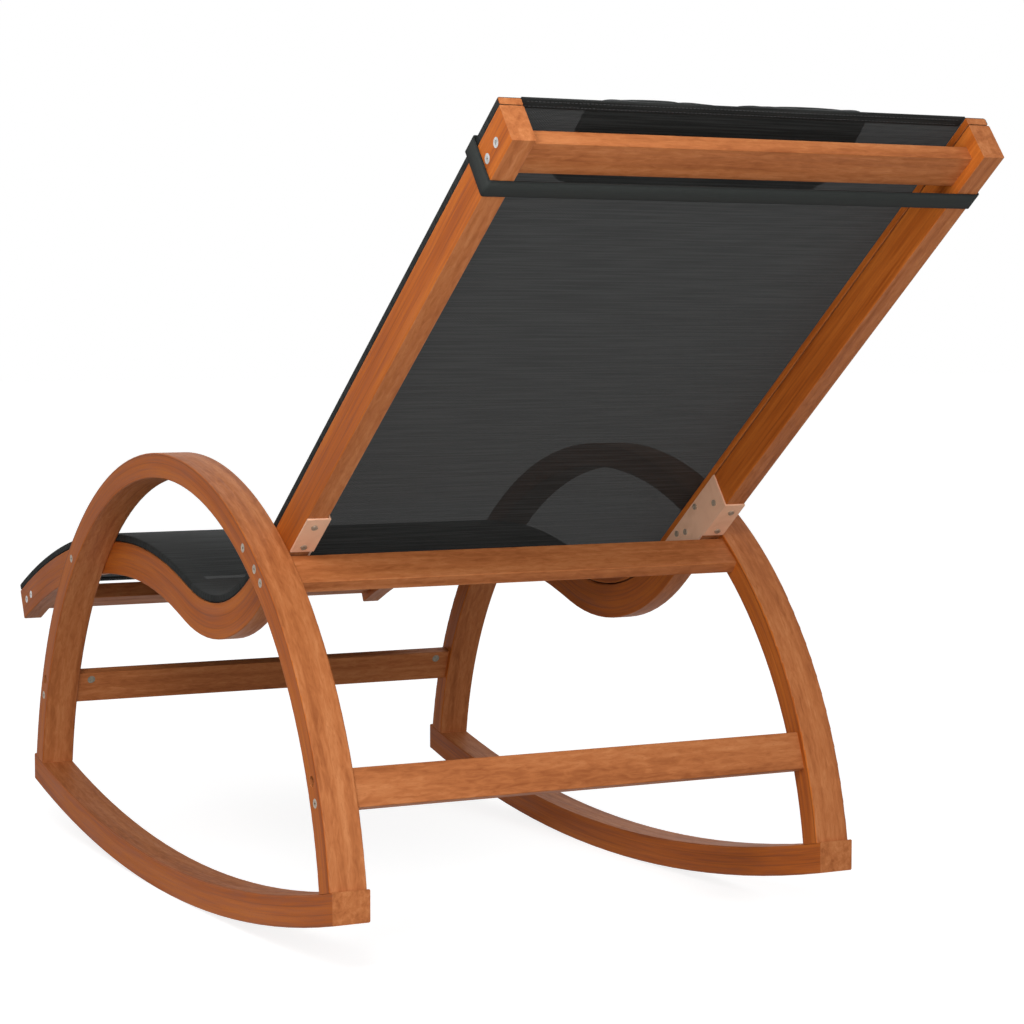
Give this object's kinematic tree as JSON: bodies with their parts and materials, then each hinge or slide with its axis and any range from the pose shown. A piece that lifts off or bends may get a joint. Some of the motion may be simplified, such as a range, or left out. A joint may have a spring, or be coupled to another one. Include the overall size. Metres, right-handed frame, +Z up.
{
  "type": "rocking chaise lounge",
  "caption": "Rocking chaise lounge with bent-wood arched side frames on curved runners, an S-shaped mesh sling seat and a strapped head pillow.",
  "frame": {"origin": "middle of the object's footprint box at floor level, on the floor under the lowest line of the runners", "axes": "+Z up, +Y towards the back and head end, -Y the way the sitter faces, +X the sitter's left"},
  "size_m": [0.6, 1.4552, 0.8349],
  "materials": {
    "wood": "satin oiled laminated wood",
    "mesh": "coated mesh weave",
    "pillow": "coated weave over padding",
    "elastic": "woven elastic",
    "bracket": "satin",
    "steel": "zinc plated"
  },
  "bodies": {
    "chair": {"arch_left": "wood", "arch_right": "wood", "runner_left": "wood", "runner_right": "wood", "rail_left": "wood", "rail_right": "wood", "clamp_strip_left": "wood", "clamp_strip_right": "wood", "head_crossbar": "wood", "front_crossbar": "wood", "rear_crossbar": "wood", "front_stretcher": "wood", "rear_stretcher": "wood", "head_crossbar_screws": "steel", "front_crossbar_screws": "steel", "rear_crossbar_screws": "steel", "rail_screws": "steel", "stretcher_screws": "steel", "stretcher_bolts": "steel", "barrel_nuts": "steel", "bracket_screws": "steel", "clamp_strip_screws": "steel", "foot_screws": "steel", "bracket_left": "bracket", "bracket_right": "bracket", "sling_fabric": "mesh"},
    "pillow": {"head_pillow": "pillow", "pillow_strap": "elastic"}
  },
  "joints": [
    {"name": "pillow_slide", "type": "slide", "parent": "chair", "child": "pillow", "axis": [0, -0.7912, -0.6115], "range_m": [-0.03, 0.48]}
  ]
}
